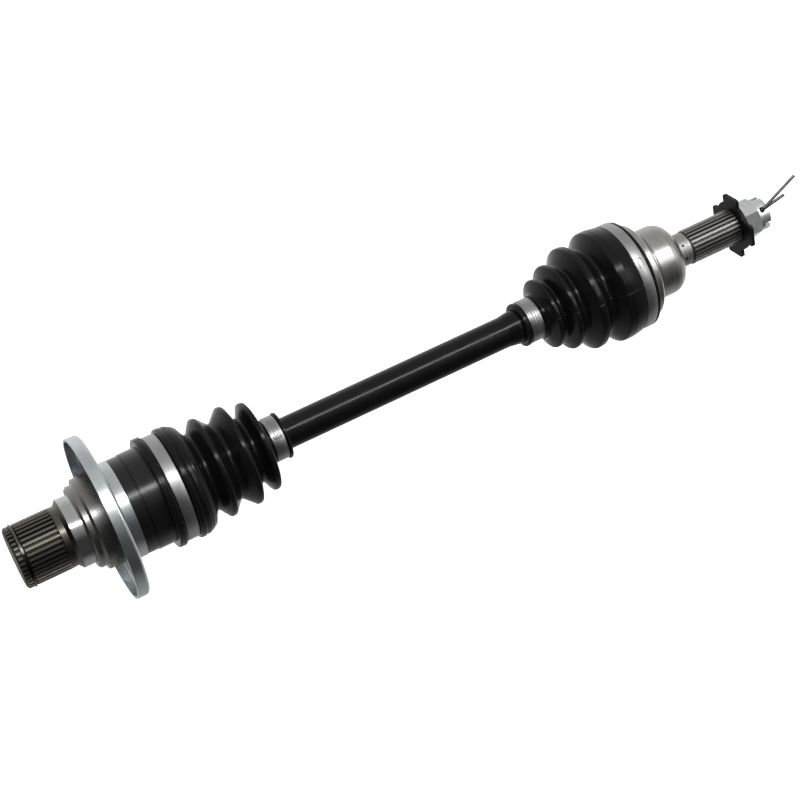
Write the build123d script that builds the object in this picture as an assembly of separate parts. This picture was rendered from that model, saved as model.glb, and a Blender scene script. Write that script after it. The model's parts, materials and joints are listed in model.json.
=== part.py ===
from build123d import *
import os
from math import acos, cos, pi, radians, sin, sqrt, tan

# A rear half shaft: a plunging ball joint, a solid shaft and a fixed ball joint, on one X axis.
# +X points from the gearcase stub to the wheel hub, +Z is up, and the origin is the middle of the
# stub's seal journal. All lengths are millimetres.

# ---- Driving dimensions -------------------------------------------------------------------------
BALL_COUNT = 6
SLIP = 0.05                     # radial clearance of a hand fit
TRACK_PLAY = 1.35               # the balls keep to their cage, so arc tracks are wider by this

# Inboard stub
STUB_END_X = -43.0
STUB_GROOVE_X = (-38.7, -36.2)
STUB_TEETH_END_X = -12.5
STUB_RUNOUT_X = -7.0
STUB_TEETH = 38
STUB_TIP_R = 21.6
STUB_ROOT_R = 20.3
JOURNAL_HALF = 4.3
JOURNAL_R = 24.6
STEP_R = 29.3
STEP_END_X = 10.0
SEAT_R = 32.5                   # turned seat of the pressed dust shield
SEAT_END_X = 36.5

# Inboard joint
IN_CENTRE_X = 50.0
IN_PLUNGE = 15.0
IN_TILT = 14.0                  # degrees about each of the two cross axes
IN_BALL_R = 15.081 / 2
IN_BALL_CIRCLE_R = 22.0
IN_BORE_R = 24.75
IN_BORE_X = 13.0
IN_MOUTH_X = 80.0
CUP_R = 34.0
CUP_SEAT_R = 34.5
IN_CAGE_R = 24.6
IN_CAGE_HALF = 16.3
IN_RACE_R = 19.4
IN_RACE_HALF = 9.8
WIRE_RING_X = 77.0
WIRE_RING_R = 1.0

# Shaft
SHAFT_R = 11.25
SHAFT_TIP_R = 10.4
SHAFT_ROOT_R = 9.6
SHAFT_TEETH = 24
SHAFT_END_OVERHANG = 3.5        # past each inner race, for its circlip
LAND_R = 12.5                   # raised land under the outboard boot's neck
LAND_X = (337.0, 354.5)
CIRCLIP_WIDTH = 1.5

# Outboard joint
OUT_CENTRE_X = 424.0
OUT_TILT = 30.0                 # degrees about each of the two cross axes
OUT_BALL_R = 14.288 / 2
OUT_BALL_CIRCLE_R = 22.0
OUT_BORE_R = 25.3
OUT_CAGE_R = 25.2
OUT_CAGE_HALF = 11.5
OUT_RACE_R = 19.5
OUT_RACE_HALF = 10.4
OUT_MOUTH_X = 411.5
OUT_SEAT_R = 37.7
OUT_RING_R = 35.0
BELL_R = 26.35
BELL_END_X = 470.5
BELL_SHOULDER_R = 10.5

# Wheel end
HUB_JOURNAL_R = 12.4
HUB_JOURNAL_END_X = 482.0
HUB_TEETH = 26
HUB_TIP_R = 13.1
HUB_ROOT_R = 11.7
HUB_TEETH_END_X = 524.6
THREAD_R = 8.95
THREAD_END_X = 549.5
WASHER_T = 2.6
WASHER_DISC_R = 19.4
WASHER_TIP_R = 23.8
WASHER_TAB_W = 16.5
WASHER_CORNER_R = 1.6
WASHER_SLIP = 0.35
WASHER_ANGLE = 35               # of the first tab, from +Y towards +Z
NUT_HEX_T = 14.6
NUT_CROWN_T = 9.3
NUT_AF = 27.0
NUT_CROWN_R = 12.4
NUT_COLLAR_R = 15.7
NUT_COLLAR_T = 1.8
NUT_SLOT_W = 4.2
NUT_SLOT_DEPTH = 7.2
PIN_R = 1.1                     # each leg of the cotter pin
PIN_HOLE_R = 2.35
PIN_ANGLE = 83                  # of the pin and a slot, from +Y towards +Z
PIN_LONG_LEG = Vector(28.4, 12.3, 10.0)
PIN_SHORT_LEG = Vector(16.3, 3.2, 5.0)

# Boots and their clamps
RUBBER = 2.4
IN_BOOT_END_X = 153.8
IN_CLAMP_X = (64.2, 72.4)
IN_SMALL_CLAMP_X = (142.1, 150.8)
OUT_BOOT_START_X = 339.7
OUT_SMALL_CLAMP_X = (344.2, 354.0)
OUT_CLAMP_X = (423.8, 432.0)
OUT_BOOT_END_X = 434.4
BAND_T = 0.9


# ---- Helpers ------------------------------------------------------------------------------------
def turned(points):
    """A solid of revolution about X from a closed outline of (x, radius)."""
    outline = Polyline([(x, r) for x, r in points], close=True)
    return revolve(make_face(outline), axis=Axis.X)


def cylinder(radius, x0, x1):
    return turned([(x0, 0), (x0, radius), (x1, radius), (x1, 0)])


def tube(inner, outer, x0, x1):
    return turned([(x0, inner), (x0, outer), (x1, outer), (x1, inner)])


def ball(radius, x=0.0):
    return Pos(x, 0, 0) * Sphere(radius)


def toothed(count, root, tip, x0, x1):
    """A prism along X whose section is a spline with flat-topped teeth."""
    pitch = 2 * pi / count
    section = []
    for i in range(count):
        for part, radius in ((-0.34, root), (-0.22, tip), (0.22, tip), (0.34, root)):
            angle = (i + part) * pitch
            section.append((radius * cos(angle), radius * sin(angle)))
    face = make_face(Plane.YZ * Polyline(section, close=True))
    return Pos(x0, 0, 0) * extrude(face, x1 - x0, dir=(1, 0, 0))


def around(count):
    """Turns about X that place count things evenly, the first on +Y."""
    return [Rot(360 * i / count, 0, 0) for i in range(count)]


def ball_angles():
    return [2 * pi * i / BALL_COUNT for i in range(BALL_COUNT)]


def balls(centre_x, circle_r, radius):
    return [
        Pos(centre_x, circle_r * cos(a), circle_r * sin(a)) * Sphere(radius) for a in ball_angles()
    ]


def arc_track(centre_x, circle_r, ball_r, from_deg, to_deg):
    """A ball track whose centre line is an arc about the joint's centre, over +Y."""
    section = SlotCenterToCenter(2 * TRACK_PLAY, 2 * (ball_r + SLIP), rotation=90)
    groove = Plane.YZ * Pos(circle_r, 0) * section
    swept = revolve(groove, axis=Axis.Z, revolution_arc=to_deg - from_deg)
    return Pos(centre_x, 0, 0) * Rot(0, 0, -to_deg) * swept


def open_ring(inner, outer, x0, x1, gap_deg, gap_at_deg):
    """A circlip: a flat ring with a gap centred gap_at_deg from +Y towards +Z."""
    half = radians(gap_deg / 2)
    far = outer * 1.5
    wedge = Plane.YZ * Polyline(
        [(0, 0), (far * cos(half), far * sin(half)), (far * cos(half), -far * sin(half))], close=True
    )
    cut = Pos(x0 - 1, 0, 0) * extrude(make_face(wedge), x1 - x0 + 2, dir=(1, 0, 0))
    return tube(inner, outer, x0, x1) - Rot(gap_at_deg, 0, 0) * cut


def band_clamp(inner, x0, x1, lock_at_deg):
    """A steel band with its overlapped end and lock tab."""
    band = tube(inner, inner + BAND_T, x0, x1)
    middle = (x0 + x1) / 2
    half = (x1 - x0) / 2 - 1.2
    lap = tube(inner + BAND_T - 0.1, inner + BAND_T + 0.5, middle - half, middle + half)
    keep = Pos(middle, inner, 0) * Box(2 * half, 8, 0.36 * inner)
    return band + Rot(lock_at_deg, 0, 0) * (lap & keep)


def corner_lean(tilt_deg):
    """The whole lean, in radians, when both cross axes stand at their limits."""
    return acos(cos(radians(tilt_deg)) ** 2)


def rounded(face, x, r, radius):
    """The face with its corner nearest (x, r) rounded."""
    corner = min(face.vertices(), key=lambda v: (v.X - x) ** 2 + (v.Y - r) ** 2)
    return fillet(corner, radius)


def on_sphere(radius, x):
    return (x, sqrt(radius ** 2 - x ** 2))


def windowed(band, circle_r, length, width, corner_r):
    """A cage: the band with one window for each ball."""
    window = Box(length, 24, width)
    window = fillet(window.edges().filter_by(Axis.Y), corner_r)
    for turn in around(BALL_COUNT):
        band -= turn * Pos(0, circle_r, 0) * window
    return band


def race(centre_x, radius, half, track):
    """An inner race: a sphere cut to width, splined inside, with its ball tracks."""
    blank = ball(radius) & cylinder(radius + 1, -half, half)
    blank -= toothed(SHAFT_TEETH, SHAFT_ROOT_R + SLIP, SHAFT_TIP_R + SLIP, -half - 1, half + 1)
    for turn in around(BALL_COUNT):
        blank -= turn * track
    return Pos(centre_x, 0, 0) * blank


def rubber_boot(outer, inner):
    """A bellows from its outer and inner outlines, both listed from -X to +X."""
    return turned(outer + inner[::-1])


# ---- Inboard joint ------------------------------------------------------------------------------
def inboard_housing():
    """One forging: splined stub, seal journal, dust shield seat and the ball cup."""
    groove_r = STUB_ROOT_R - 0.8
    core = turned([
        (STUB_END_X, 0), (STUB_END_X, STUB_ROOT_R - 0.6), (STUB_END_X + 0.6, STUB_ROOT_R),
        (STUB_GROOVE_X[0], STUB_ROOT_R), (STUB_GROOVE_X[0], groove_r), (STUB_GROOVE_X[1], groove_r),
        (STUB_GROOVE_X[1], STUB_ROOT_R), (STUB_TEETH_END_X, STUB_ROOT_R),
        (STUB_TEETH_END_X + 1.5, STUB_TIP_R), (STUB_RUNOUT_X, STUB_TIP_R - 0.3),
        (-JOURNAL_HALF - 0.6, JOURNAL_R - 0.8), (-JOURNAL_HALF, JOURNAL_R), (JOURNAL_HALF, JOURNAL_R),
        (JOURNAL_HALF, STEP_R - 1.5), (JOURNAL_HALF + 1.5, STEP_R), (STEP_END_X - 0.8, STEP_R),
        (STEP_END_X, STEP_R + 0.8), (STEP_END_X, SEAT_R - 0.8), (STEP_END_X + 0.8, SEAT_R),
        (SEAT_END_X, SEAT_R), (SEAT_END_X, CUP_R - 0.4), (SEAT_END_X + 0.4, CUP_R),
        (44.0, CUP_R), (44.3, CUP_R - 0.4), (45.0, CUP_R - 0.4), (45.3, CUP_SEAT_R),
        (IN_MOUTH_X, CUP_SEAT_R), (IN_MOUTH_X, 0),
    ])
    teeth = toothed(STUB_TEETH, STUB_ROOT_R - 0.2, STUB_TIP_R, STUB_END_X, STUB_TEETH_END_X + 1)
    teeth &= turned([
        (STUB_END_X, STUB_ROOT_R - 0.6), (STUB_END_X + 1.2, STUB_TIP_R + 0.1),
        (STUB_GROOVE_X[0] - 0.3, STUB_TIP_R + 0.1), (STUB_GROOVE_X[0], STUB_TIP_R - 0.3),
        (STUB_GROOVE_X[0], STUB_ROOT_R - 0.5), (STUB_GROOVE_X[0], 0), (STUB_END_X, 0),
    ]) + turned([
        (STUB_GROOVE_X[1], 0), (STUB_GROOVE_X[1], STUB_TIP_R - 0.6),
        (STUB_GROOVE_X[1] + 0.7, STUB_TIP_R + 0.1), (STUB_TEETH_END_X + 1, STUB_TIP_R + 0.1),
        (STUB_TEETH_END_X + 1, 0),
    ])
    shaft_lean = corner_lean(IN_TILT)
    deepest = IN_CENTRE_X - IN_PLUNGE
    flare_r = SHAFT_R / cos(shaft_lean) + tan(shaft_lean) * (IN_MOUTH_X - deepest) + 0.4
    flare_x = IN_MOUTH_X - (flare_r - IN_BORE_R) / tan(shaft_lean)
    cavity = turned([
        (IN_BORE_X, 0), (IN_BORE_X, IN_BORE_R), (flare_x, IN_BORE_R), (IN_MOUTH_X, flare_r),
        (IN_MOUTH_X, 0),
    ])
    body = core + teeth - cavity
    track_start = deepest - IN_BALL_R - 0.4
    for turn in around(BALL_COUNT):
        body -= turn * Pos(0, IN_BALL_CIRCLE_R, 0) * cylinder(IN_BALL_R + SLIP, track_start, IN_MOUTH_X + 1)
    body -= tube(
        IN_BALL_CIRCLE_R, wire_ring_outer(), WIRE_RING_X - WIRE_RING_R - SLIP, WIRE_RING_X + WIRE_RING_R + SLIP
    )
    return body


def wire_ring_outer():
    return IN_BALL_CIRCLE_R + IN_BALL_R - 0.1


def inboard_wire_ring():
    """The sprung wire in the cup's mouth that keeps the balls in."""
    ring_r = wire_ring_outer() - WIRE_RING_R - SLIP
    section = Pos(WIRE_RING_X, ring_r) * Circle(WIRE_RING_R)
    return revolve(section, axis=Axis.X, revolution_arc=350)


def inboard_dust_shield():
    """A pressed dish: collar on the seat, flat web, and a rim turned back over the seal."""
    rim_r, sheet, bend = 58.0, 1.8, 2.6
    rim_x, web_x, collar_x, collar_r = 18.0, 27.0, SEAT_END_X - 0.1, 34.4
    dish = make_face(Polyline([
        (rim_x, rim_r - sheet), (rim_x, rim_r), (web_x, rim_r), (web_x, collar_r),
        (collar_x, collar_r), (collar_x, SEAT_R), (web_x - sheet, SEAT_R),
        (web_x - sheet, rim_r - sheet),
    ], close=True))
    dish = rounded(dish, web_x, rim_r, bend)
    dish = rounded(dish, web_x - sheet, rim_r - sheet, bend - sheet + 0.4)
    dish = rounded(dish, web_x, collar_r, 1.2)
    return revolve(dish, axis=Axis.X)


def inboard_cage():
    """A spherical band with windows long enough for the cage to lean about the balls."""
    inner_r = IN_RACE_R + 0.1
    throat_r = 15.9
    throat_x = sqrt(inner_r ** 2 - throat_r ** 2)
    edge = on_sphere(IN_CAGE_R, IN_CAGE_HALF)
    back = on_sphere(IN_CAGE_R, -IN_CAGE_HALF)
    outline = Line((-IN_CAGE_HALF, throat_r), back)
    outline += ThreePointArc(back, (0, IN_CAGE_R), edge)
    outline += Polyline([edge, (IN_CAGE_HALF, throat_r), (throat_x, throat_r)])
    outline += ThreePointArc((throat_x, throat_r), (0, inner_r), (-throat_x, throat_r))
    outline += Line((-throat_x, throat_r), (-IN_CAGE_HALF, throat_r))
    lean = IN_BALL_CIRCLE_R * sin(radians(60)) * sin(radians(IN_TILT))
    length = 2 * (IN_BALL_R + lean + 0.25)
    band = revolve(make_face(outline), axis=Axis.X)
    return Pos(IN_CENTRE_X, 0, 0) * windowed(band, IN_BALL_CIRCLE_R, length, 2 * IN_BALL_R + 1.1, 5.0)


def inboard_inner_race():
    track = arc_track(0, IN_BALL_CIRCLE_R, IN_BALL_R, -50, 50)
    return race(IN_CENTRE_X, IN_RACE_R, IN_RACE_HALF, track)


def inboard_race_circlip():
    x1 = IN_CENTRE_X - IN_RACE_HALF - SLIP
    return open_ring(SHAFT_ROOT_R - 0.9, SHAFT_TIP_R + 1.5, x1 - CIRCLIP_WIDTH, x1, 50, 90)


def inboard_stub_circlip():
    x0 = (STUB_GROOVE_X[0] + STUB_GROOVE_X[1]) / 2 - 0.8
    return open_ring(STUB_ROOT_R - 0.7, STUB_TIP_R + 0.6, x0, x0 + 1.6, 56, 117)


def inboard_boot():
    outer = [
        (57.6, 38.2), (58.6, 39.5), (62.8, 39.5), (63.8, 37.1), (72.8, 37.1), (73.8, 39.7),
        (77.0, 39.7), (78.0, 38.9), (80.5, 39.0), (83.5, 37.2), (87.3, 34.6), (91.7, 26.3),
        (99.0, 35.3), (101.0, 35.3), (109.5, 26.4), (119.0, 35.3), (121.0, 35.3), (127.0, 20.8),
        (133.4, 31.8), (136.2, 31.8), (139.8, 17.2), (141.6, 15.1), (151.0, 15.1), (151.5, 16.5),
        (IN_BOOT_END_X, 16.2),
    ]
    wall = RUBBER * 1.5
    seat_end = IN_MOUTH_X + 0.6
    inner = [(57.6, CUP_SEAT_R + SLIP), (seat_end, CUP_SEAT_R + SLIP)]
    inner += [(x, r - wall) for x, r in outer if seat_end + 2 < x < 141]
    inner += [(140.8, SHAFT_R + SLIP), (IN_BOOT_END_X, SHAFT_R + SLIP)]
    return rubber_boot(outer, inner)


# ---- Shaft --------------------------------------------------------------------------------------
def axle_shaft():
    """One bar with a splined end and a circlip groove for each inner race."""
    in_race = (IN_CENTRE_X - IN_RACE_HALF, IN_CENTRE_X + IN_RACE_HALF)
    out_race = (OUT_CENTRE_X - OUT_RACE_HALF, OUT_CENTRE_X + OUT_RACE_HALF)
    start = in_race[0] - SHAFT_END_OVERHANG
    end = out_race[1] + SHAFT_END_OVERHANG
    bar = turned([
        (start, 0), (start, SHAFT_ROOT_R - 0.8), (start + 0.8, SHAFT_ROOT_R), (in_race[1], SHAFT_ROOT_R),
        (in_race[1] + 0.1, SHAFT_R), (LAND_X[0] - 9, SHAFT_R), (LAND_X[0], LAND_R), (LAND_X[1], LAND_R),
        (LAND_X[1] + 1.5, SHAFT_R), (out_race[0] - 0.1, SHAFT_R), (out_race[0], SHAFT_ROOT_R),
        (end - 0.8, SHAFT_ROOT_R), (end, SHAFT_ROOT_R - 0.8), (end, 0),
    ])
    for x0, x1 in ((start + 0.8, in_race[1] + 0.1), (out_race[0] - 0.1, end - 0.8)):
        bar += toothed(SHAFT_TEETH, SHAFT_ROOT_R - 0.2, SHAFT_TIP_R, x0, x1)
    width = CIRCLIP_WIDTH + 2 * SLIP
    for x0 in (in_race[0] - width, out_race[1]):
        bar -= tube(SHAFT_ROOT_R - 1.0, SHAFT_TIP_R + 1, x0, x0 + width)
    return bar


# ---- Outboard joint -----------------------------------------------------------------------------
def outboard_housing():
    """One forging: ball bell, hub journal, spline and threaded end."""
    bell_x = BELL_END_X - BELL_SHOULDER_R
    shoulder = [
        (bell_x + BELL_SHOULDER_R * sin(a), BELL_R - BELL_SHOULDER_R * (1 - cos(a)))
        for a in [radians(15 * i) for i in range(7)]
    ]
    outside = turned([
        (OUT_MOUTH_X, 0), (OUT_MOUTH_X, 33.6), (OUT_MOUTH_X + 2.5, 35.9), (419.5, OUT_SEAT_R - 0.3),
        (420.5, OUT_SEAT_R), (OUT_BOOT_END_X + 0.2, OUT_SEAT_R), (437.2, OUT_RING_R),
        (440.8, OUT_RING_R), (442.2, OUT_RING_R - 1.4), (442.2, 28.0), (443.4, BELL_R - 0.8),
        (446.6, BELL_R - 0.8), (447.2, BELL_R), *shoulder, (BELL_END_X, 14.4),
        (BELL_END_X - 0.6, 13.6), (BELL_END_X - 0.6, HUB_JOURNAL_R), (HUB_JOURNAL_END_X, HUB_JOURNAL_R),
        (HUB_JOURNAL_END_X + 0.7, HUB_ROOT_R), (HUB_TEETH_END_X, HUB_ROOT_R),
        (HUB_TEETH_END_X, THREAD_R), (THREAD_END_X - 1.2, THREAD_R), (THREAD_END_X, THREAD_R - 1.2),
        (THREAD_END_X, 0),
    ])
    teeth = toothed(HUB_TEETH, HUB_ROOT_R - 0.2, HUB_TIP_R, HUB_JOURNAL_END_X + 0.7, HUB_TEETH_END_X)
    teeth &= turned([
        (HUB_JOURNAL_END_X, 0), (HUB_JOURNAL_END_X, HUB_ROOT_R), (HUB_JOURNAL_END_X + 2, HUB_TIP_R + 0.1),
        (HUB_TEETH_END_X - 1, HUB_TIP_R + 0.1), (HUB_TEETH_END_X, HUB_TIP_R - 0.9), (HUB_TEETH_END_X, 0),
    ])
    body = outside + teeth
    body -= ball(OUT_BORE_R, OUT_CENTRE_X)
    lean = corner_lean(OUT_TILT)
    reach = OUT_CENTRE_X - OUT_MOUTH_X
    mouth_r = SHAFT_R / cos(lean) + tan(lean) * reach + 0.5
    body -= turned([
        (OUT_MOUTH_X - 0.1, 0), (OUT_MOUTH_X - 0.1, mouth_r), (OUT_CENTRE_X, mouth_r - tan(lean) * reach),
        (OUT_CENTRE_X, 0),
    ])
    track = arc_track(OUT_CENTRE_X, OUT_BALL_CIRCLE_R, OUT_BALL_R, -60, 52)
    for turn in around(BALL_COUNT):
        body -= turn * track
    hole = Pos(pin_x(), 0, 0) * Rot(PIN_ANGLE, 0, 0) * Rot(90, 0, 0) * Cylinder(PIN_HOLE_R, 3 * THREAD_R)
    return body - hole


def pin_x():
    return HUB_TEETH_END_X + WASHER_T + NUT_HEX_T + NUT_CROWN_T - NUT_SLOT_DEPTH + 2.6


def outboard_cage():
    """A spherical band opened on the shaft's side so that the shaft can lean."""
    inner_r = OUT_RACE_R + 0.1
    slope = tan(radians(OUT_TILT))
    open_r = SHAFT_R / cos(radians(OUT_TILT)) + 0.3
    meet_x = -(sqrt(inner_r ** 2 * (1 + slope ** 2) - open_r ** 2) - slope * open_r) / (1 + slope ** 2)
    edge = on_sphere(OUT_CAGE_R, OUT_CAGE_HALF)
    back = on_sphere(OUT_CAGE_R, -OUT_CAGE_HALF)
    lip = on_sphere(inner_r, OUT_CAGE_HALF)
    meet = on_sphere(inner_r, meet_x)
    outline = Line((-OUT_CAGE_HALF, open_r + slope * OUT_CAGE_HALF), back)
    outline += ThreePointArc(back, (0, OUT_CAGE_R), edge)
    outline += Line(edge, lip)
    outline += ThreePointArc(lip, (0, inner_r), meet)
    outline += Line(meet, (-OUT_CAGE_HALF, open_r + slope * OUT_CAGE_HALF))
    band = revolve(make_face(outline), axis=Axis.X)
    length, width = 2 * (OUT_BALL_R + 0.08), 2 * (OUT_BALL_R + 0.4)
    return Pos(OUT_CENTRE_X, 0, 0) * windowed(band, OUT_BALL_CIRCLE_R, length, width, 4.0)


def outboard_inner_race():
    track = arc_track(0, OUT_BALL_CIRCLE_R, OUT_BALL_R, -60, 60)
    return race(OUT_CENTRE_X, OUT_RACE_R, OUT_RACE_HALF, track)


def outboard_race_circlip():
    x0 = OUT_CENTRE_X + OUT_RACE_HALF + SLIP
    return open_ring(SHAFT_ROOT_R - 0.9, SHAFT_TIP_R + 1.2, x0, x0 + CIRCLIP_WIDTH, 50, 90)


def outboard_boot():
    outer = [
        (OUT_BOOT_START_X, 15.2), (340.5, 16.0), (342.9, 16.0), (343.8, 15.1), (354.4, 15.1),
        (355.2, 16.4), (357.6, 18.0), (361.0, 25.6), (363.4, 25.6), (367.0, 20.5), (372.6, 31.6),
        (375.2, 31.6), (380.3, 25.0), (388.4, 38.4), (392.0, 38.4), (400.2, 31.0), (409.0, 41.6),
        (413.6, 42.1), (418.0, 41.8), (423.0, 40.3), (423.6, 39.6), (432.2, 39.6), (432.8, 40.2),
        (OUT_BOOT_END_X, 39.6),
    ]
    wall = RUBBER * 1.5
    inner = [(OUT_BOOT_START_X, LAND_R + SLIP), (LAND_X[1] + 1.2, LAND_R + SLIP)]
    inner += [(x, r - wall) for x, r in outer if 356 < x < 402]
    inner += [(411.0, 38.2), (414.0, 38.9), (419.0, 38.7), (421.5, OUT_SEAT_R + SLIP)]
    inner += [(OUT_BOOT_END_X, OUT_SEAT_R + SLIP)]
    return rubber_boot(outer, inner)


# ---- Wheel end fasteners ------------------------------------------------------------------------
def star_washer():
    """A flat lock plate with four wide parallel-sided tabs, its corners rounded."""
    x0, x1 = HUB_TEETH_END_X, HUB_TEETH_END_X + WASHER_T
    plate = cylinder(WASHER_DISC_R, x0, x1)
    tab = Pos((x0 + x1) / 2, WASHER_TIP_R / 2, 0) * Box(WASHER_T, WASHER_TIP_R, WASHER_TAB_W)
    tab = fillet(tab.edges().filter_by(Axis.X).group_by(Axis.Y)[-1], WASHER_CORNER_R)
    for i in range(4):
        plate += Rot(WASHER_ANGLE + 90 * i, 0, 0) * tab
    return plate - cylinder(THREAD_R + WASHER_SLIP, x0 - 1, x1 + 1)


def castle_nut():
    x0 = HUB_TEETH_END_X + WASHER_T
    x1 = x0 + NUT_HEX_T
    x2 = x1 + NUT_CROWN_T
    corner_first = Plane.YZ * Rot(0, 0, PIN_ANGLE)
    hexagon = corner_first * RegularPolygon(NUT_AF / 2, 6, major_radius=False)
    prism = Pos(x0, 0, 0) * extrude(hexagon, NUT_HEX_T, dir=(1, 0, 0))
    corner_r = NUT_AF / 2 / cos(pi / 6)
    prism &= turned([
        (x0, 0), (x0, NUT_AF / 2 - 0.3), (x0 + 1.3, corner_r + 0.1), (x1 - 1.3, corner_r + 0.1),
        (x1, NUT_AF / 2 - 0.3), (x1, 0),
    ])
    collar = cylinder(NUT_COLLAR_R, x0, x0 + NUT_COLLAR_T)
    crown = turned([
        (x1 - 1, 0), (x1 - 1, NUT_CROWN_R), (x2 - 0.8, NUT_CROWN_R), (x2, NUT_CROWN_R - 0.8), (x2, 0),
    ])
    nut = prism + collar + crown - cylinder(THREAD_R + SLIP, x0 - 1, x2 + 1)
    nut -= turned([(x2 - 1, 0), (x2 - 1, THREAD_R), (x2 + 0.1, THREAD_R + 1.1), (x2 + 0.1, 0)])
    slot = Pos(x2 - NUT_SLOT_DEPTH / 2 + 0.5, 0, 0) * Box(NUT_SLOT_DEPTH + 1, 40, NUT_SLOT_W)
    for i in range(3):
        nut -= Rot(PIN_ANGLE + 60 * i, 0, 0) * slot
    return nut


def bent_wire(points, radii):
    """One line through the points in space, each inner corner an arc of its radius."""
    pieces, last = [], points[0]
    for before, corner, after, radius in zip(points, points[1:], points[2:], radii):
        back, ahead = (before - corner).normalized(), (after - corner).normalized()
        half = radians(back.get_angle(ahead)) / 2
        start, end = corner + back * (radius / tan(half)), corner + ahead * (radius / tan(half))
        inward = (back + ahead).normalized()
        middle = corner + inward * (radius / sin(half) - radius)
        pieces += [Line(last, start), ThreePointArc(start, middle, end)]
        last = end
    return Wire([*pieces, Line(last, points[-1])])


def cotter_pin():
    """One wire: a long leg, an eye behind the nut, and a short leg, both legs bent outwards."""
    offset = PIN_R + 0.02
    bend_s = NUT_CROWN_R + 1.6
    x = pin_x()
    out = Vector(0, cos(radians(PIN_ANGLE)), sin(radians(PIN_ANGLE)))
    along = Vector(1, 0, 0)
    long_bend = along * (x - offset) + out * (bend_s + 1.4)
    short_bend = along * (x + offset) + out * (bend_s - 1.2)
    points = [
        long_bend + PIN_LONG_LEG, long_bend, along * (x - offset) - out * bend_s,
        along * (x - 3.4) - out * (bend_s + 4.0), along * x - out * (bend_s + 8.0),
        along * (x + 3.4) - out * (bend_s + 4.0), along * (x + offset) - out * bend_s,
        short_bend, short_bend + PIN_SHORT_LEG,
    ]
    route = bent_wire(points, [1.9, 2.5, 2.2, 2.6, 2.2, 2.5, 1.2])
    section = Plane(origin=route @ 0, z_dir=route % 0) * Circle(PIN_R)
    return sweep(section, path=route)


# ---- Every node ---------------------------------------------------------------------------------
def build():
    nodes = {
        "inboard_housing": inboard_housing(),
        "inboard_dust_shield": inboard_dust_shield(),
        "inboard_stub_circlip": inboard_stub_circlip(),
        "inboard_wire_ring": inboard_wire_ring(),
        "inboard_cage": inboard_cage(),
        "inboard_inner_race": inboard_inner_race(),
        "inboard_race_circlip": inboard_race_circlip(),
        "inboard_boot": inboard_boot(),
        "inboard_large_clamp": band_clamp(37.15, *IN_CLAMP_X, -60),
        "inboard_small_clamp": band_clamp(15.15, *IN_SMALL_CLAMP_X, 75),
        "axle_shaft": axle_shaft(),
        "outboard_housing": outboard_housing(),
        "outboard_cage": outboard_cage(),
        "outboard_inner_race": outboard_inner_race(),
        "outboard_race_circlip": outboard_race_circlip(),
        "outboard_boot": outboard_boot(),
        "outboard_large_clamp": band_clamp(39.65, *OUT_CLAMP_X, -60),
        "outboard_small_clamp": band_clamp(15.15, *OUT_SMALL_CLAMP_X, 75),
        "star_washer": star_washer(),
        "castle_nut": castle_nut(),
        "cotter_pin": cotter_pin(),
    }
    for i, piece in enumerate(balls(IN_CENTRE_X, IN_BALL_CIRCLE_R, IN_BALL_R), 1):
        nodes[f"inboard_ball_{i}"] = piece
    for i, piece in enumerate(balls(OUT_CENTRE_X, OUT_BALL_CIRCLE_R, OUT_BALL_R), 1):
        nodes[f"outboard_ball_{i}"] = piece
    return nodes


if __name__ == "__main__":
    os.makedirs("parts", exist_ok=True)
    for name, shape in build().items():
        export_step(shape, f"parts/{name}.step")
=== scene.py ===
import json
from math import cos, exp, pi, radians, sin, sqrt, tan

import bmesh
import bpy
from mathutils import Matrix, Vector


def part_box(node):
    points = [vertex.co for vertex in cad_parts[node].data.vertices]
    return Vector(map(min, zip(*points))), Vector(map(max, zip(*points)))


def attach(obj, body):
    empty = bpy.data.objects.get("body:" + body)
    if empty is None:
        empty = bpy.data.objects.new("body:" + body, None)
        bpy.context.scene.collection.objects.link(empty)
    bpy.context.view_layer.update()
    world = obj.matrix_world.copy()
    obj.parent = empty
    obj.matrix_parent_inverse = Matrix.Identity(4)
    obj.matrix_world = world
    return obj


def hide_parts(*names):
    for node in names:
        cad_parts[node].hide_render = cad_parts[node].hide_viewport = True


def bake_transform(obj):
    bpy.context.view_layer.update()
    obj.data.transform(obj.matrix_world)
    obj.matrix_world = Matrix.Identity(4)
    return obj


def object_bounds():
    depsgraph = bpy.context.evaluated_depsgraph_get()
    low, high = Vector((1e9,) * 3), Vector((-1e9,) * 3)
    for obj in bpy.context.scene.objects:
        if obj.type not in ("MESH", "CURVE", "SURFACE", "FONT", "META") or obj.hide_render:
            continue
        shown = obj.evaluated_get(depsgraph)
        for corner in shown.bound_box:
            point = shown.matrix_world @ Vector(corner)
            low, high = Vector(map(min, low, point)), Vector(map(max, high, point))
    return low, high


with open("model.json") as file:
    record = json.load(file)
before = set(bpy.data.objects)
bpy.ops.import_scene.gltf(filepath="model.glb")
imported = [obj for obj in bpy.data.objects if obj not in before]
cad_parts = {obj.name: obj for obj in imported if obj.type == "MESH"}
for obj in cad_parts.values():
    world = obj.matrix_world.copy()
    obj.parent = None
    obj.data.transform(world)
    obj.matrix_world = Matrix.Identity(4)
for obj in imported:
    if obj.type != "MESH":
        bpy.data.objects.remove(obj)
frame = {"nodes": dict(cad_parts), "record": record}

CAD_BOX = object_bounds()
MM = 0.001
SCENE = bpy.context.scene
BODY_OF = {node: name for name, nodes in frame["record"]["behaviour"]["bodies"].items()
           for node in nodes}


def span(node):
    """Where a CAD node starts and ends along X."""
    low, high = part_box(node)
    return low.x, high.x


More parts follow.
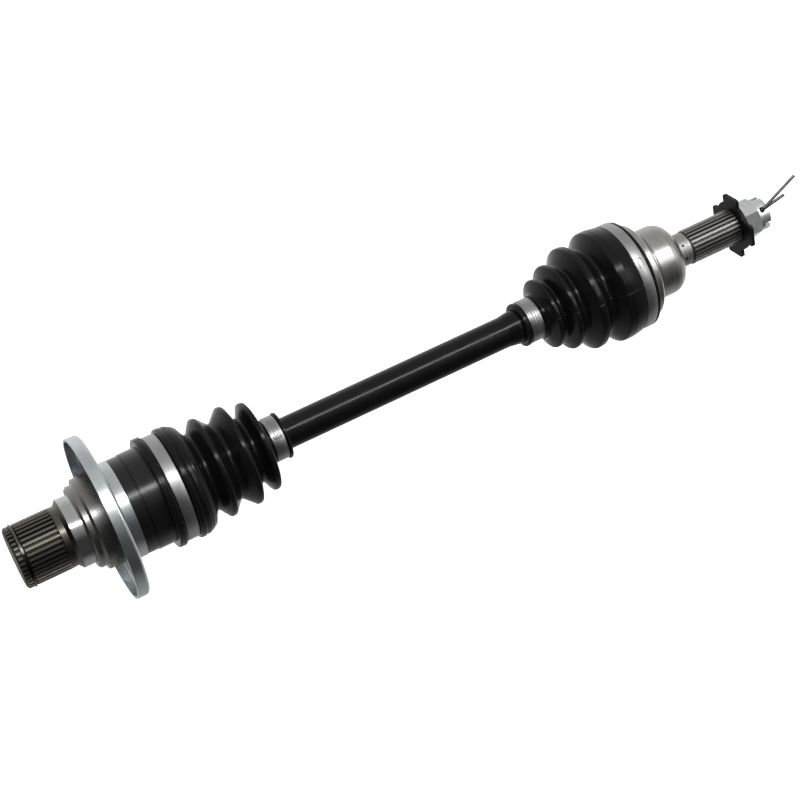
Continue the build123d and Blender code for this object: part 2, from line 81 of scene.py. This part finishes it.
# ---- Camera: above the shaft, a little towards the gearcase end, long lens -----------------------
CAMERA_RIGHT = Vector((0.8726, -0.4237, 0.2436))
CAMERA_BACK = Vector((-0.2689, 0.0, 0.9632))
CAMERA_TARGET = Vector((0.240, 0.0, 0.0))
CAMERA_OFFSET = (0.0042, -0.0117, 1.264)    # right, up and back from the target
CAMERA_LENS = 82.1
SENSOR_WIDTH = 36.0
NEAR_CLIP = 0.05

# ---- Studio: a pale floor, two softboxes and a sky that is brighter on one side ------------------
SWING_ROOM = 0.20   # the floor is this far below the part, so a bent axle doesn't sink into it
FLOOR_HALF = 25.0
FLOOR_GLOW = 0.62
SOFTBOXES = (       # name, place, aim, size, watts
    ("high_softbox", (0.20, 0.47, 1.50), (0.25, 0.0, 0), (2.2, 0.20), 23),
    ("wheel_end_softbox", (1.20, -0.02, 1.45), (0.45, 0.0, 0), (0.45, 0.75), 4),
)
SKY_LEAN = 0.8                                  # share of +X in the bright side, beside +Y
SKY_SIDE = (-0.45, 0.35), (0.07, 0.70)          # strength from the dark side to the bright one
SKY_BELOW = (0.0, -0.5), (0.0, 0.36)            # strength added from the horizon downwards

# ---- Places along the part, in metres, that its finishes follow ----------------------------------
SPLINE_END = -0.0125                            # the stub's spline ends
JOURNAL_HALF = 0.0043                           # half of the ground seal journal
SEAT_END = span("inboard_dust_shield")[1]       # the cup's paint begins
BELL_END = 0.4706
JOURNAL_END = 0.4821                            # the hub's neck ends and its spline begins
STUB_SHADE_TO_HIGHLIGHT = 0.0216 - 0.0011, 0.0216 - 0.0006   # radii from the painted shade of the tooth roots to the painted highlight of the tooth tips
# the hub's spline: radii from painted shade in the roots to painted highlight on the tips
HUB_SHADE_TO_HIGHLIGHT = 0.0131 - 0.0011, 0.0131 - 0.0001
PUNCH_MARKS = [(0.4762, 0.0124 * cos(a), 0.0124 * sin(a)) for a in (radians(81), radians(128.5))]
PUNCH_SIZE = 0.0008

# ---- Edges ---------------------------------------------------------------------------------------
CAD_SHARP, BOOT_SHARP, BAND_SHARP = 28, 50.0, 40.0              # degrees
EDGE_BREAKS = (("castle_nut", 0.0004), ("star_washer", 0.0003))

# ---- Boots: outlines as (x, radius, fillet) in mm ------------------------------------------------
WALL = 1.2              # of rubber, in mm
ARC_STEPS = 6           # pieces of one fillet
MOST_OF_A_SIDE = 0.49   # share of a straight side that one fillet may use up
OUTLINE_STEP = 0.6      # about the longest piece of an outline, in mm
BOOT_COLUMNS = 168      # for a full turn, before the seams' own
SEAM_RIDGE = 0.2        # height of the mould seam, in mm
SEAM_WIDTH = 0.006      # its half width, in radians
INBOARD_FOLDS = [
    (57.6, 37.4), (57.8, 39.5, 0.9), (62.9, 39.6, 1.1), (63.5, 37.1, 0.3), (73.0, 37.1, 0.3),
    (73.6, 39.6, 1.0), (77.2, 39.8, 1.2), (78.0, 38.5, 0.4), (79.2, 39.4, 0.5), (81.6, 38.9, 0.6),
    (82.1, 38.1, 0.3), (83.2, 38.0, 0.5), (86.4, 36.0, 3.0), (91.7, 26.0, 2.2), (98.7, 35.9, 1.5),
    (101.6, 35.7, 1.6), (109.5, 26.9, 2.4), (118.4, 35.8, 1.5), (121.4, 35.6, 1.6),
    (127.0, 20.2, 2.4), (133.0, 32.2, 1.4), (136.4, 32.0, 1.6), (139.6, 17.6, 1.8),
    (141.4, 15.15, 0.5), (151.0, 15.15, 0.3), (151.5, 16.9, 0.9), (153.4, 16.7, 0.8),
    (153.8, 14.6),
]
OUTBOARD_FOLDS = [
    (339.7, 14.2), (339.9, 16.1, 1.0), (343.0, 16.2, 1.1), (343.7, 15.15, 0.3),
    (354.5, 15.15, 0.3), (355.1, 16.6, 0.6), (357.4, 17.6, 1.3), (360.4, 26.1, 1.5),
    (363.7, 25.9, 1.6), (367.1, 19.9, 1.9), (372.2, 32.1, 1.6), (375.6, 31.9, 1.7),
    (380.4, 27.2, 1.9), (388.0, 38.9, 2.0), (392.7, 38.7, 2.2), (400.4, 31.2, 2.6),
    (408.6, 41.9, 2.6), (414.2, 42.1, 1.8), (418.2, 41.6, 1.6), (422.6, 40.9, 1.0),
    (423.2, 39.65, 0.3), (432.6, 39.65, 0.3), (433.0, 40.3, 0.35), (434.4, 40.1, 0.4),
    (434.4, 38.6),
]
BOOTS = (
    {"name": "inboard_bellows", "node": "inboard_boot", "folds": INBOARD_FOLDS, "seam": 20,
     "seats": [(57.0, 82.4, 34.55), (140.4, 157.0, 11.35)],         # from, to, radius inside
     "cuts": (57.6, 106.0, 124.6, 153.8),                           # the ends of its lengths
     "joints": (("gearcase_end", "inboard_ball_set", 83.5, 106.0),  # bodies, bend from and to
                ("inboard_ball_set", "inboard_cage", 106.0, 124.6),
                ("inboard_cage", "shaft", 124.6, 140.5))},
    {"name": "outboard_bellows", "node": "outboard_boot", "folds": OUTBOARD_FOLDS, "seam": 109,
     "seats": [(339.0, 356.4, 12.55), (412.0, 435.0, 37.75)],
     "cuts": (339.7, 392.7, 434.4),
     "joints": (("shaft", "outboard_cage_set", 357.0, 392.7),
                ("outboard_cage_set", "wheel_end", 392.7, 422.0))},
)

# ---- Clamps: heights above the seat and insets in mm, angles in degrees --------------------------
BAND_COLUMNS = 150                              # for a full turn
BAND_EDGE = 0.00018                             # rounding of a band's edges, in metres
TONGUE_STATIONS = (0.02, 0.08, 0.18, 0.35, 0.6, 0.8, 1.0)
TONGUE_TIP_WIDTH, TONGUE_TIP_TOP = 0.45, 0.35   # shares of the width and thickness at its tip
GROOVE_PROFILE = ((-0.42, 0.0), (-0.12, 0.5), (0.12, 0.5), (0.42, 0.0))     # mm across, depth share
LARGE_CLAMPS = (("inboard_large_clamp", 37.12, 190, 160),           # node, seat, tip, turn
                ("outboard_large_clamp", 39.67, 250, 215))
LARGE_BAND_TOP, LARGE_OVERLAP, LOCK = 0.6, (0.58, 0.98), (0.9, 1.5)
LARGE_INSET, LARGE_TONGUE = 0.2, 5
LOCK_INSET, LOCK_BACK, LOCK_TURN, LOCK_TONGUE = 2.2, 25, 11, 3
SMALL_CLAMPS = (("inboard_small_clamp", 95), ("outboard_small_clamp", 116))     # node, tip
SMALL_BAND, SMALL_OVERLAP = (15.12, 15.62), (15.6, 16.15)           # radii
SMALL_INSETS, SMALL_TURN, SMALL_TONGUE = (1.3, 0.6), 230, 9
SMALL_GROOVES = (-0.52, 0.0, 0.52)

# ---- Metals: dark and light colour, roughness range, then the lathe lines' pitch and depth and the
# clouds' scale where they differ from metal()'s own -----------------------------------------------
METALS = {
    "zinc_plate": ((0.42, 0.45, 0.465), (0.54, 0.57, 0.585), (0.24, 0.33), 0.0006, 0.0000015),
    "nut_zinc": ((0.54, 0.555, 0.56), (0.72, 0.73, 0.735), (0.26, 0.40), 0.0005, 0.000005, 420.0),
    "bearing_steel": ((0.30, 0.30, 0.29), (0.42, 0.42, 0.41), (0.18, 0.30)),
    "spring_steel": ((0.075, 0.072, 0.068), (0.14, 0.135, 0.13), (0.25, 0.38)),
    "clamp_steel": ((0.27, 0.275, 0.27), (0.36, 0.365, 0.36), (0.32, 0.42), 0.0004, 0.000002),
    "pin_steel": ((0.10, 0.10, 0.10), (0.18, 0.18, 0.18), (0.35, 0.5)),
    "ball_steel": ((0.70, 0.70, 0.71), (0.78, 0.78, 0.79), (0.06, 0.12)),
}
OWN_FINISH = {"castle_nut": "nut_zinc"}         # a node whose finish isn't its slot's


# ---- Node helpers --------------------------------------------------------------------------------
MIX_SOCKETS = 0, 6, 7       # a colour mix's factor, A and B
SLOPE_SHARE = 1.31          # how much a change of radius moves the lathe lines, beside one of x


def new_material(name, settings):
    """A material, its tree and its shader, with the settings on the shader's own sockets."""
    material = bpy.data.materials.new(name)
    material.use_nodes = True
    tree = material.node_tree
    bsdf = tree.nodes["Principled BSDF"]
    for key, value in settings.items():
        bsdf.inputs[key].default_value = value
    return material, tree, bsdf


def add(tree, kind, inputs=None, **settings):
    """A new node: settings are its properties, inputs are values or sockets to link."""
    node = tree.nodes.new(kind)
    for key, value in settings.items():
        setattr(node, key, value)
    for key, value in (inputs or {}).items():
        if isinstance(value, bpy.types.NodeSocket):
            tree.links.new(value, node.inputs[key])
        else:
            node.inputs[key].default_value = value
    return node


def math(tree, operation, a, b=0.0, c=0.0):
    return add(tree, "ShaderNodeMath", {0: a, 1: b, 2: c}, operation=operation).outputs[0]


def weighted(tree, a, share_a, b, share_b):
    return math(tree, "ADD", math(tree, "MULTIPLY", a, share_a),
                math(tree, "MULTIPLY", b, share_b))


def mask_between(tree, value, low, high):
    return math(tree, "MULTIPLY", math(tree, "GREATER_THAN", value, low),
                math(tree, "LESS_THAN", value, high))


def near_point(tree, vector, place, size):
    """1 within size of a point, falling to 0 at one and a half times it."""
    away = add(tree, "ShaderNodeVectorMath", {0: vector, 1: place}, operation="DISTANCE")
    return remap(tree, away.outputs["Value"], (size, 1.5 * size), (1.0, 0.0))


def position(tree):
    """(vector, x, y, z, radius) of the point in the row frame, in metres."""
    vector = add(tree, "ShaderNodeTexCoord").outputs["Object"]
    parts = add(tree, "ShaderNodeSeparateXYZ", {0: vector}).outputs
    square = math(tree, "ADD", math(tree, "MULTIPLY", parts[1], parts[1]),
                  math(tree, "MULTIPLY", parts[2], parts[2]))
    return vector, parts[0], parts[1], parts[2], math(tree, "SQRT", square)


def noise(tree, vector, scale, detail, rough=0.5):
    return add(tree, "ShaderNodeTexNoise", {
        "Vector": vector, "Scale": scale, "Detail": detail, "Roughness": rough}).outputs["Fac"]


def remap(tree, value, source, target):
    return add(tree, "ShaderNodeMapRange", {
        "Value": value, "From Min": source[0], "From Max": source[1], "To Min": target[0],
        "To Max": target[1]}).outputs["Result"]


def blend_colour(tree, factor, a, b):
    """a where factor is 0 and b where it is 1."""
    node = add(tree, "ShaderNodeMix", data_type="RGBA")
    for index, value in zip(MIX_SOCKETS, (factor, a, b)):
        if isinstance(value, bpy.types.NodeSocket):
            tree.links.new(value, node.inputs[index])
        else:
            node.inputs[index].default_value = (*value, 1)
    return node.outputs[2]


def turned_lines(tree, x, y, z, radius, pitch, slow=40.0):
    """Noise drawn out round the X axis, as a lathe tool leaves it, on faces of any slope."""
    across = math(tree, "ADD", x, math(tree, "MULTIPLY", radius, SLOPE_SHARE))
    vector = add(tree, "ShaderNodeCombineXYZ", {
        0: math(tree, "DIVIDE", across, pitch), 1: math(tree, "MULTIPLY", y, slow),
        2: math(tree, "MULTIPLY", z, slow)}).outputs[0]
    return noise(tree, vector, scale=1.0, detail=2.0, rough=0.6)


def skin(tree, bsdf, colour, rough, height, depth):
    """Colour, roughness and relief of a shader. A height of 1 stands depth metres proud."""
    tree.links.new(colour, bsdf.inputs["Base Color"])
    tree.links.new(rough, bsdf.inputs["Roughness"])
    relief = add(tree, "ShaderNodeBump", {"Height": height, "Distance": depth, "Strength": 1.0})
    tree.links.new(relief.outputs["Normal"], bsdf.inputs["Normal"])


# ---- Materials -----------------------------------------------------------------------------------
def floor_paper():
    material, tree, bsdf = new_material("floor_paper", {
        "Roughness": 0.9, "Specular IOR Level": 0.1, "Emission Color": (1, 1, 1, 1),
        "Emission Strength": FLOOR_GLOW})
    fibre = noise(tree, position(tree)[0], scale=60.0, detail=4.0)
    tree.links.new(blend_colour(tree, fibre, (0.90, 0.90, 0.90), (0.93, 0.93, 0.93)),
                   bsdf.inputs["Base Color"])
    return material


def metal(name, dark, light, rough, pitch=0.00018, depth=0.000006, cloud=90.0):
    """Bare or plated steel: colour clouds, lathe lines, and roughness that varies with both."""
    material, tree, bsdf = new_material(name, {"Metallic": 1.0})
    vector, x, y, z, radius = position(tree)
    clouds = noise(tree, vector, scale=cloud, detail=4.0, rough=0.6)
    lines = turned_lines(tree, x, y, z, radius, pitch)
    mixed = weighted(tree, clouds, 0.6, lines, 0.4)
    colour = blend_colour(tree, remap(tree, mixed, (0.3, 0.7), (0.0, 1.0)), dark, light)
    skin(tree, bsdf, colour, remap(tree, mixed, (0.25, 0.75), rough), lines, depth)
    return material


def housing_finish():
    """The gearcase end's forging: oiled brown spline with painted shade in its tooth roots and
    painted highlight on its tips, ground journal, turned steel, black cup.
    """
    material, tree, bsdf = new_material("housing_finish", {"Specular IOR Level": 0.36})
    vector, x, y, z, radius = position(tree)
    clouds = noise(tree, vector, scale=110.0, detail=5.0, rough=0.65)
    lines = turned_lines(tree, x, y, z, radius, pitch=0.00022)
    splined = math(tree, "LESS_THAN", x, SPLINE_END)
    ground = mask_between(tree, x, -JOURNAL_HALF, JOURNAL_HALF)
    turned = math(tree, "GREATER_THAN", x, JOURNAL_HALF)
    painted = math(tree, "GREATER_THAN", x, SEAT_END)
    bare = math(tree, "SUBTRACT", 1.0, painted)

    # painted shade in the stub's tooth roots, painted highlight on its tooth tips
    tip = remap(tree, radius, STUB_SHADE_TO_HIGHLIGHT, (0.0, 1.0))
    teeth_shade_and_highlight = blend_colour(tree, tip, (0.018, 0.016, 0.014), (0.105, 0.096, 0.083))
    worn = blend_colour(tree, clouds, (0.072, 0.066, 0.058), (0.130, 0.120, 0.106))
    journal = blend_colour(tree, lines, (0.33, 0.333, 0.335), (0.52, 0.523, 0.525))
    seat = blend_colour(tree, clouds, (0.165, 0.161, 0.153), (0.270, 0.265, 0.255))
    paint = blend_colour(tree, clouds, (0.0022, 0.0022, 0.0025), (0.0050, 0.0050, 0.0056))
    colour = blend_colour(tree, splined, worn, teeth_shade_and_highlight)
    for mask, over in ((ground, journal), (turned, seat), (painted, paint)):
        colour = blend_colour(tree, mask, colour, over)
    tree.links.new(bare, bsdf.inputs["Metallic"])

    rough = remap(tree, clouds, (0.25, 0.75), (0.24, 0.34))
    for operation, mask, change in (("ADD", splined, 0.14), ("SUBTRACT", ground, 0.13),
                                    ("SUBTRACT", painted, 0.06)):
        rough = math(tree, operation, rough, math(tree, "MULTIPLY", mask, change))
    peel = math(tree, "MULTIPLY", noise(tree, vector, scale=500.0, detail=2.0), painted)
    height = math(tree, "ADD", math(tree, "MULTIPLY", lines, bare),
                  math(tree, "MULTIPLY", peel, 2.0))
    skin(tree, bsdf, colour, rough, height, depth=0.000005)
    return material


def hub_finish():
    """The wheel end's forging: turned bell, mottled neck with two punch marks darkened by painted
    shade, spline with painted shade in its roots and painted highlight on its tips.
    """
    material, tree, bsdf = new_material("hub_finish", {"Metallic": 1.0})
    vector, x, y, z, radius = position(tree)
    clouds = noise(tree, vector, scale=90.0, detail=4.0, rough=0.6)
    scale = noise(tree, vector, scale=700.0, detail=4.0, rough=0.7)
    lines = turned_lines(tree, x, y, z, radius, pitch=0.00025)
    mixed = weighted(tree, clouds, 0.55, lines, 0.45)
    bell = math(tree, "LESS_THAN", x, BELL_END)
    neck = mask_between(tree, x, BELL_END, JOURNAL_END)
    splined = math(tree, "GREATER_THAN", x, JOURNAL_END)
    marks = math(tree, "MAXIMUM",
                 *[near_point(tree, vector, place, PUNCH_SIZE) for place in PUNCH_MARKS])

    colour = blend_colour(tree, remap(tree, mixed, (0.3, 0.7), (0.0, 1.0)),
                          (0.27, 0.265, 0.255), (0.41, 0.405, 0.39))
    mottled = blend_colour(tree, scale, (0.19, 0.187, 0.18), (0.42, 0.412, 0.40))
    # painted shade in the hub's tooth roots, painted highlight on its tooth tips
    tip = remap(tree, radius, HUB_SHADE_TO_HIGHLIGHT, (0.0, 1.0))
    teeth_shade_and_highlight = blend_colour(tree, tip, (0.045, 0.043, 0.041), (0.24, 0.236, 0.228))
    # the punch marks are painted near black: painted shade in their hollows
    for mask, over in ((neck, mottled), (splined, teeth_shade_and_highlight), (marks, (0.012, 0.012, 0.012))):
        colour = blend_colour(tree, mask, colour, over)

    duller = math(tree, "MULTIPLY", math(tree, "MAXIMUM", neck, splined), 0.16)
    rough = math(tree, "ADD", remap(tree, mixed, (0.25, 0.75), (0.24, 0.36)), duller)
    pitted = math(tree, "MULTIPLY", math(tree, "SUBTRACT", scale, marks),
                  math(tree, "MULTIPLY", neck, 6.0))
    height = math(tree, "ADD", math(tree, "MULTIPLY", lines, bell), pitted)
    skin(tree, bsdf, colour, rough, height, depth=0.000004)
    return material


def gloss_paint(name, rough):
    """Black stoving paint: a slight orange peel, and a little dust in the gloss."""
    material, tree, bsdf = new_material(name, {"IOR": 1.28})
    vector = position(tree)[0]
    clouds = noise(tree, vector, scale=60.0, detail=5.0, rough=0.6)
    colour = blend_colour(tree, clouds, (0.0020, 0.0020, 0.0022), (0.0045, 0.0045, 0.0048))
    skin(tree, bsdf, colour, remap(tree, clouds, (0.3, 0.7), rough),
         noise(tree, vector, scale=420.0, detail=2.0), depth=0.00002)
    return material


def rubber():
    """Moulded neoprene: near black, a fine mould grain, cloudy bloom and a soft gloss."""
    material, tree, bsdf = new_material("boot_rubber", {"IOR": 1.25})
    vector, x, y, z, radius = position(tree)
    bloom = noise(tree, vector, scale=70.0, detail=5.0, rough=0.65)
    grain = noise(tree, vector, scale=2600.0, detail=2.0)
    rings = turned_lines(tree, x, y, z, radius, pitch=0.0009, slow=25.0)
    colour = blend_colour(tree, bloom, (0.0025, 0.0025, 0.0027), (0.0060, 0.0060, 0.0066))
    rough = remap(tree, weighted(tree, bloom, 0.6, rings, 0.4), (0.3, 0.7), (0.15, 0.25))
    height = math(tree, "ADD", math(tree, "MULTIPLY", grain, 0.35), rings)
    skin(tree, bsdf, colour, rough, height, depth=0.000015)
    return material


# ---- Camera and lights ---------------------------------------------------------------------------
def stand(name, data, right, up, back, place):
    """A camera or light that looks along -back."""
    thing = bpy.data.objects.new(name, data)
    SCENE.collection.objects.link(thing)
    turn = Matrix((right, up, back)).transposed().to_4x4()
    thing.matrix_world = Matrix.Translation(place) @ turn
    return thing


def make_camera():
    data = bpy.data.cameras.new("camera")
    data.lens = CAMERA_LENS
    data.sensor_width = SENSOR_WIDTH
    data.clip_start = NEAR_CLIP
    back = CAMERA_BACK.normalized()
    right = (CAMERA_RIGHT - back * CAMERA_RIGHT.dot(back)).normalized()
    up = back.cross(right)
    place = (CAMERA_TARGET + right * CAMERA_OFFSET[0] + up * CAMERA_OFFSET[1]
             + back * CAMERA_OFFSET[2])
    SCENE.camera = stand("camera", data, right, up, back, place)


def area_light(name, place, aim, size, power):
    data = bpy.data.lights.new(name, "AREA")
    data.shape = "RECTANGLE"
    data.size, data.size_y = size
    data.energy = power
    away = (Vector(place) - Vector(aim)).normalized()
    across = Vector((1, 0, 0))
    across = (across - away * across.dot(away)).normalized()
    stand(name, data, across, away.cross(across), away, Vector(place))


def make_studio():
    low = CAD_BOX[0][2] - SWING_ROOM
    mesh = bpy.data.meshes.new("floor")
    corners = [(-1, -1), (1, -1), (1, 1), (-1, 1)]
    mesh.from_pydata([(x * FLOOR_HALF, y * FLOOR_HALF, low) for x, y in corners],
                     [], [(0, 1, 2, 3)])
    floor = bpy.data.objects.new("floor", mesh)
    SCENE.collection.objects.link(floor)
    floor.data.materials.append(floor_paper())
    floor.visible_glossy = False
    for softbox in SOFTBOXES:
        area_light(*softbox)
    world = bpy.data.worlds.new("studio")
    world.use_nodes = True
    tree = world.node_tree
    direction = add(tree, "ShaderNodeTexCoord").outputs["Generated"]
    parts = add(tree, "ShaderNodeSeparateXYZ", {0: direction}).outputs
    lit_side = math(tree, "MULTIPLY_ADD", parts[0], SKY_LEAN, parts[1])
    glow = math(tree, "ADD", remap(tree, lit_side, *SKY_SIDE), remap(tree, parts[2], *SKY_BELOW))
    tree.links.new(glow, tree.nodes["Background"].inputs["Strength"])
    tree.nodes["Background"].inputs["Color"].default_value = (1, 1, 1, 1)
    SCENE.world = world
    SCENE.view_settings.view_transform = "Standard"


# ---- Mesh helpers --------------------------------------------------------------------------------
def rounded(points):
    """An outline of (x, radius, fillet) with each inner corner turned into an arc."""
    result = [Vector(points[0][:2])]
    for before, here, after in zip(points, points[1:], points[2:]):
        corner, fillet = Vector(here[:2]), here[2]
        back, ahead = Vector(before[:2]) - corner, Vector(after[:2]) - corner
        half = back.angle(ahead) / 2
        room = MOST_OF_A_SIDE * min(back.length, ahead.length)
        cut = min(fillet / tan(half), room)
        start, end = corner + back.normalized() * cut, corner + ahead.normalized() * cut
        radius = cut * tan(half)
        middle_way = (back.normalized() + ahead.normalized()).normalized()
        centre = corner + middle_way * (radius / sin(half))
        turn = (start - centre).angle_signed(end - centre)
        for i in range(ARC_STEPS + 1):
            spoke = (start - centre).copy()
            spoke.rotate(Matrix.Rotation(-turn * i / ARC_STEPS, 2))
            result.append(centre + spoke)
    result.append(Vector(points[-1][:2]))
    return [(p.x, p.y) for p in result]


def smooth_with_edges(mesh, degrees):
    mesh.polygons.foreach_set("use_smooth", [True] * len(mesh.polygons))
    mesh.set_sharp_from_angle(angle=radians(degrees))


def swept(name, section, angles, material, full, sharp):
    """A closed (x, radius) section carried round X, open or full. It may differ at each angle,
    counted from +Y to +Z."""
    rows = [section(a) for a in angles]
    count = len(rows[0])
    vertices = [(x, r * cos(a), r * sin(a)) for a, row in zip(angles, rows) for x, r in row]
    faces = []
    for j in range(len(angles) if full else len(angles) - 1):
        here, there = j * count, ((j + 1) % len(angles)) * count
        for i in range(count):
            k = (i + 1) % count
            faces.append((here + i, here + k, there + k, there + i))
    if not full:
        faces.append(tuple(range(count)))
        faces.append(tuple(reversed(range((len(angles) - 1) * count, len(angles) * count))))
    mesh = bpy.data.meshes.new(name)
    mesh.from_pydata(vertices, [], faces)
    mesh.validate()
    smooth_with_edges(mesh, sharp)
    piece = bpy.data.objects.new(name, mesh)
    SCENE.collection.objects.link(piece)
    mesh.materials.append(material)
    work = bmesh.new()
    work.from_mesh(mesh)
    bmesh.ops.recalc_face_normals(work, faces=work.faces)
    work.to_mesh(mesh)
    work.free()
    return piece


# ---- Boots ---------------------------------------------------------------------------------------
def dense(points):
    """An outline in mm with its fillets drawn and its straights cut up into steps."""
    outline = rounded(points)
    result = [outline[0]]
    for (xa, ra), (xb, rb) in zip(outline, outline[1:]):
        length = sqrt((xb - xa) ** 2 + (rb - ra) ** 2)
        if length < 1e-6:
            continue
        parts = max(1, int(length / OUTLINE_STEP))
        result += [(xa + (xb - xa) * k / parts, ra + (rb - ra) * k / parts)
                   for k in range(1, parts + 1)]
    return result


def inner_wall(outer, seats):
    """The inside of a boot: one wall in from the outline, and down on its seat at each end."""
    result = []
    for i, (x, r) in enumerate(outer):
        xa, ra = outer[max(i - 2, 0)]
        xb, rb = outer[min(i + 2, len(outer) - 1)]
        length = sqrt((xb - xa) ** 2 + (rb - ra) ** 2)
        ix, ir = x + WALL * (rb - ra) / length, r - WALL * (xb - xa) / length
        for start, end, seat in seats:
            if start <= x <= end:
                ix, ir = x, seat
        result.append((ix, ir))
    return result


def columns_with_seams(seams):
    """Angles round a turn, with a close group at each seam."""
    close = [seam + k * SEAM_WIDTH for seam in seams for k in range(-4, 5)]
    plain = [2 * pi * i / BOOT_COLUMNS for i in range(BOOT_COLUMNS)]
    kept = [a for a in plain if all(abs(a - c) > 2 * SEAM_WIDTH for c in close)]
    return sorted(kept + close)


def boot(material, name, node, folds, seam, seats, cuts, joints):
    """A bellows in closed lengths, with a seam on both sides."""
    outer = dense(folds)
    inner = inner_wall(outer, seats)
    marks = [min(range(len(outer)), key=lambda i: abs(outer[i][0] - cut)) for cut in cuts]
    marks[0], marks[-1] = 0, len(outer) - 1
    seams = radians(seam), radians(seam) + pi
    angles = columns_with_seams(seams)

    for k, (first, last, joint) in enumerate(zip(marks, marks[1:], joints), 1):
        top, under = outer[first:last + 1], inner[first:last + 1]

        def section(a):
            near = min(abs(a - seam_angle) for seam_angle in seams)
            lift = SEAM_RIDGE * exp(-(near / SEAM_WIDTH) ** 2)
            return ([(x * MM, (r + lift) * MM) for x, r in top]
                    + [(x * MM, r * MM) for x, r in reversed(under)])

        piece = swept(f"{name}_length_{k}", section, angles, material, True, BOOT_SHARP)
        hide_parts(node)
        body_a, body_b, start, end = joint
        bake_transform(piece)


# ---- Clamps --------------------------------------------------------------------------------------
def band(name, x0, x1, r0, r1, material, node, start=0.0, turn=2 * pi, tongue=0.0, grooves=()):
    """A steel band with rounded edges. An open band can end in a narrowing tongue at its start
    angle. grooves are shallow rolled lines, each at a share of the half width."""
    full = abs(turn) >= 2 * pi - 1e-6
    count = max(12, int(BAND_COLUMNS * abs(turn) / (2 * pi)))
    travel = [abs(turn) * i / (count if full else count - 1) for i in range(count)]
    if tongue:
        travel = sorted(travel + [tongue * t for t in TONGUE_STATIONS])
    way = 1 if turn > 0 else -1
    middle, half = (x0 + x1) / 2, (x1 - x0) / 2

    def section(a):
        h, top = half, r1
        if tongue:
            t = min(1.0, way * (a - start) / tongue)
            widening = sqrt(max(0.0, 1 - (1 - t) ** 2))
            h = half * (TONGUE_TIP_WIDTH + (1 - TONGUE_TIP_WIDTH) * widening)
            top = r0 + (r1 - r0) * min(1.0, TONGUE_TIP_TOP + 4 * t)
        edge = min(BAND_EDGE, (top - r0) / 2.2)
        chamfer = 0.3 * edge            # a rounded edge is drawn as two flats
        rolled = [(middle + h * share + across * MM, top - down * (top - r0))
                  for share in grooves for across, down in GROOVE_PROFILE]
        return [(middle - h, r0), (middle - h, top - edge),
                (middle - h + chamfer, top - chamfer), (middle - h + edge, top), *rolled,
                (middle + h - edge, top), (middle + h - chamfer, top - chamfer),
                (middle + h, top - edge), (middle + h, r0)]

    angles = [start + way * u for u in travel]
    piece = swept(name, section, angles, material, full, BAND_SHARP)
    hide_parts(node)
    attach(piece, BODY_OF[node])


def make_clamps(material):
    for node, seat, tip, turn in LARGE_CLAMPS:
        x0, x1 = span(node)
        band(f"{node}_band", x0, x1, seat * MM, (seat + LARGE_BAND_TOP) * MM, material, node)
        low, high = LARGE_OVERLAP
        band(f"{node}_overlap", x0 + LARGE_INSET * MM, x1 - LARGE_INSET * MM,
             (seat + low) * MM, (seat + high) * MM, material, node,
             radians(tip), radians(turn), radians(LARGE_TONGUE))
        low, high = LOCK
        band(f"{node}_lock", x0 + LOCK_INSET * MM, x1 - LOCK_INSET * MM,
             (seat + low) * MM, (seat + high) * MM, material, node,
             radians(tip + turn - LOCK_BACK), radians(LOCK_TURN), radians(LOCK_TONGUE))
    for node, tip in SMALL_CLAMPS:
        x0, x1 = span(node)
        low, high = SMALL_BAND
        band(f"{node}_band", x0, x1, low * MM, high * MM, material, node)
        low, high = SMALL_OVERLAP
        band(f"{node}_overlap", x0 + SMALL_INSETS[0] * MM, x1 - SMALL_INSETS[1] * MM,
             low * MM, high * MM, material, node,
             radians(tip), -radians(SMALL_TURN), radians(SMALL_TONGUE), SMALL_GROOVES)


# ---- CAD nodes -----------------------------------------------------------------------------------
def dress_nodes(finish):
    """Each CAD node gets its finish and smooth shading, and two get a fine broken edge."""
    for entry in frame["record"]["subparts"]:
        mesh = frame["nodes"][entry["node"]].data
        mesh.materials.clear()
        mesh.materials.append(finish[OWN_FINISH.get(entry["node"], entry["material_slot"])])
        smooth_with_edges(mesh, CAD_SHARP)
    for name, width in EDGE_BREAKS:
        bevel = frame["nodes"][name].modifiers.new("edge_break", "BEVEL")
        bevel.width = width
        bevel.segments = 2
        bevel.limit_method = "ANGLE"
        bevel.angle_limit = radians(CAD_SHARP)
        bevel.harden_normals = True


def main():
    make_camera()
    make_studio()
    finish = {name: metal(name, *look) for name, look in METALS.items()}
    finish["black_paint"] = gloss_paint("black_paint", (0.16, 0.26))
    finish["black_washer"] = gloss_paint("black_washer", (0.38, 0.5))
    finish["housing_steel"] = housing_finish()
    finish["turned_steel"] = hub_finish()
    finish["boot_rubber"] = rubber()
    dress_nodes(finish)
    for shape in BOOTS:
        boot(finish["boot_rubber"], **shape)
    make_clamps(finish["clamp_steel"])


main()
